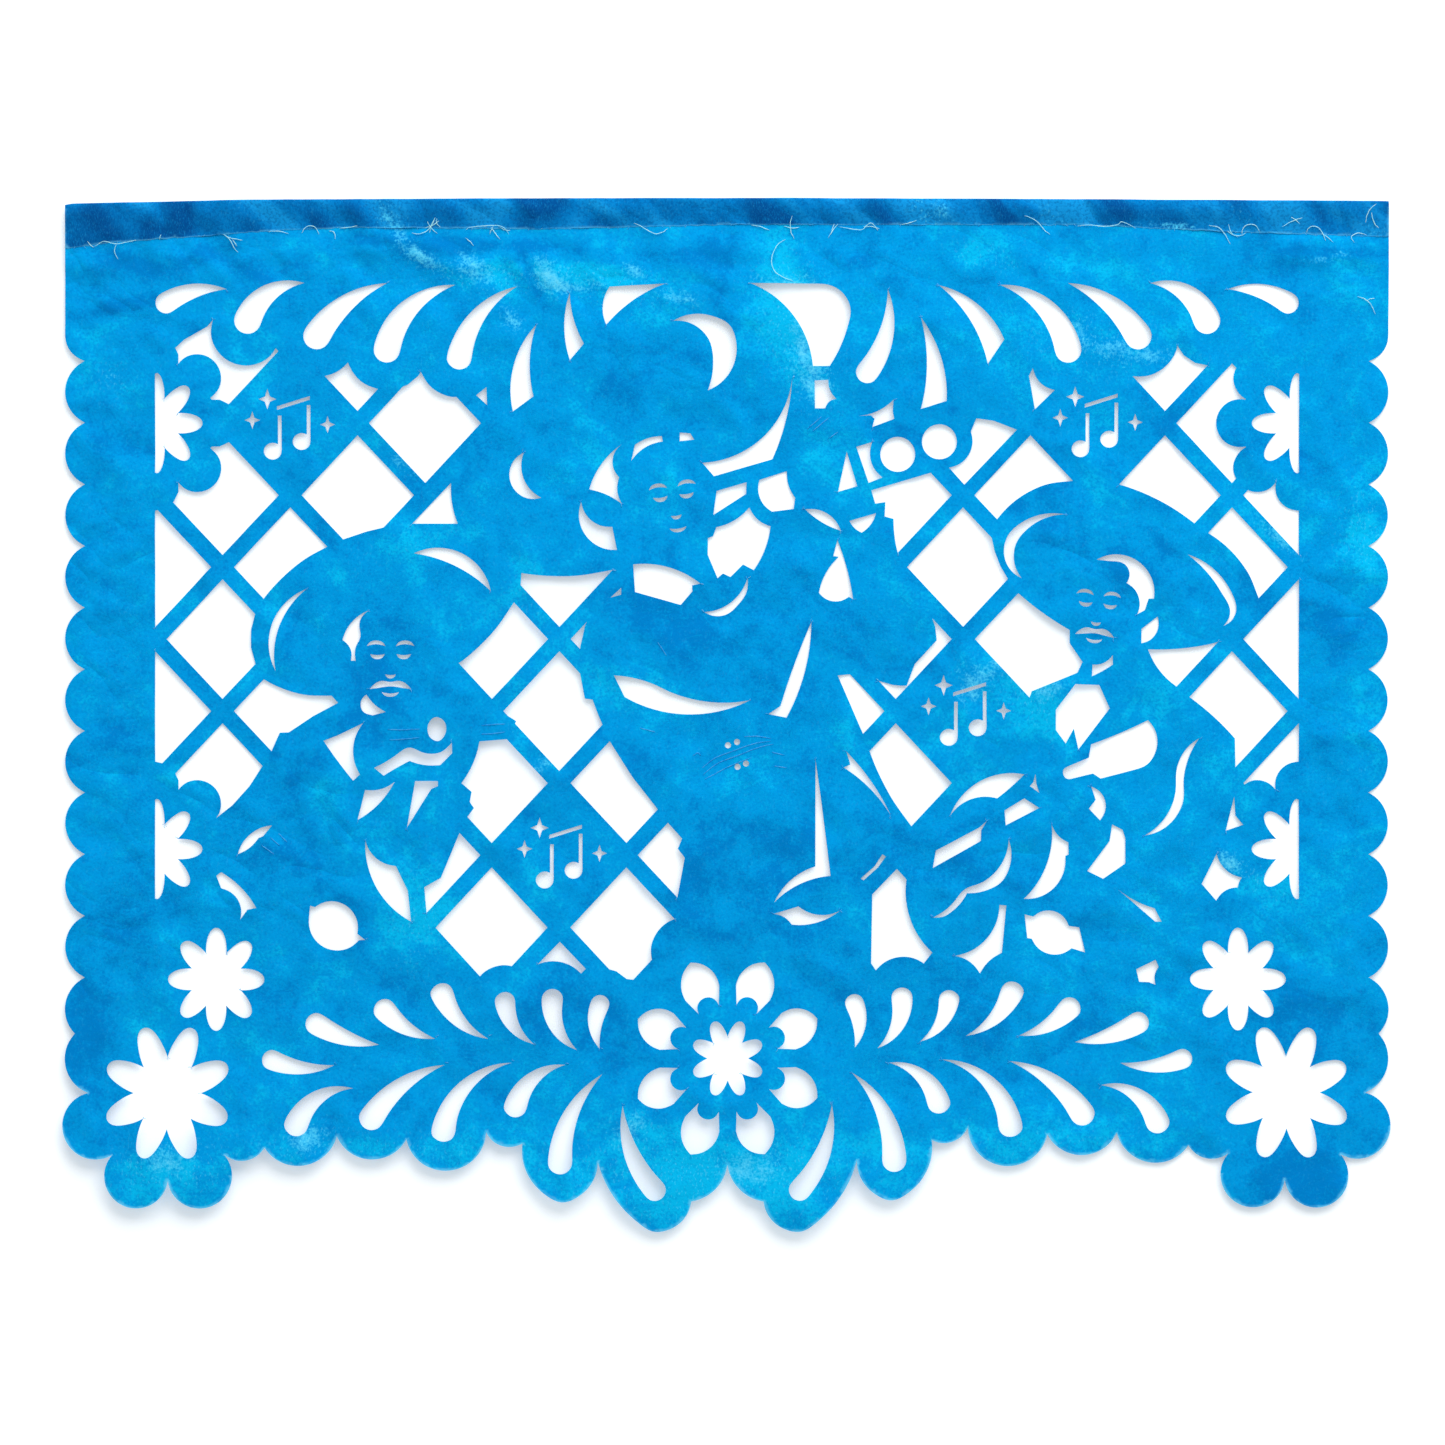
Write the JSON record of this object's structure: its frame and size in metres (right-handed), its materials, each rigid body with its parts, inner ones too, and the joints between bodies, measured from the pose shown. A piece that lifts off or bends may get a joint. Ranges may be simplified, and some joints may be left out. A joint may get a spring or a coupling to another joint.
{
  "type": "cut paper banner",
  "caption": "Blue cut-paper banner with scalloped edges, a lattice, flowers and musicians cut through the sheet, and a folded hem at the top for a string",
  "frame": {"origin": "the middle of the banner's outline, on its underside", "axes": "X runs along the hem to the right of the picture, Y runs up the picture to the hem, and Z points out of the paper's face; the banner lies on its back"},
  "size_m": [0.4424, 0.3442, 0.0019],
  "materials": {
    "paper": "matt"
  },
  "bodies": {
    "root": {"cut_sheet": "paper"}
  },
  "joints": []
}
